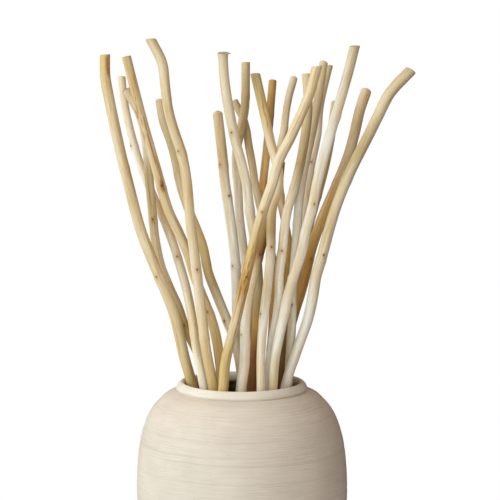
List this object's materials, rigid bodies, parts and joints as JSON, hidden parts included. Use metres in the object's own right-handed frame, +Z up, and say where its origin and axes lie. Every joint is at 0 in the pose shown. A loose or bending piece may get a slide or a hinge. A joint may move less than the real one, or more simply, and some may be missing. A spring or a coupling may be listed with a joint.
{
  "type": "willow stems in vase",
  "caption": "Peeled, gently bent willow stems standing loose in a round, horizontally ridged stoneware vase with a rounded lip.",
  "frame": {"origin": "centre of the vase's flat base, where it rests", "axes": "+Z up along the vase's axis, -Y to the front that the picture shows, +X to the viewer's right"},
  "size_m": [0.3185, 0.2357, 0.6005],
  "materials": {
    "stoneware": "matte, fine horizontal throwing ridges",
    "willow": "dry peeled wood, cream to golden brown"
  },
  "bodies": {
    "root": {"vase": "stoneware", "stem_01": "willow", "stem_02": "willow", "stem_03": "willow", "stem_04": "willow", "stem_05": "willow", "stem_06": "willow", "stem_07": "willow", "stem_08": "willow", "stem_09": "willow", "stem_10": "willow", "stem_11": "willow", "stem_12": "willow", "stem_13": "willow", "stem_14": "willow", "stem_15": "willow", "stem_16": "willow", "stem_17": "willow", "stem_18": "willow", "stem_19": "willow", "stem_20": "willow", "stem_21": "willow", "stem_22": "willow"}
  },
  "joints": []
}
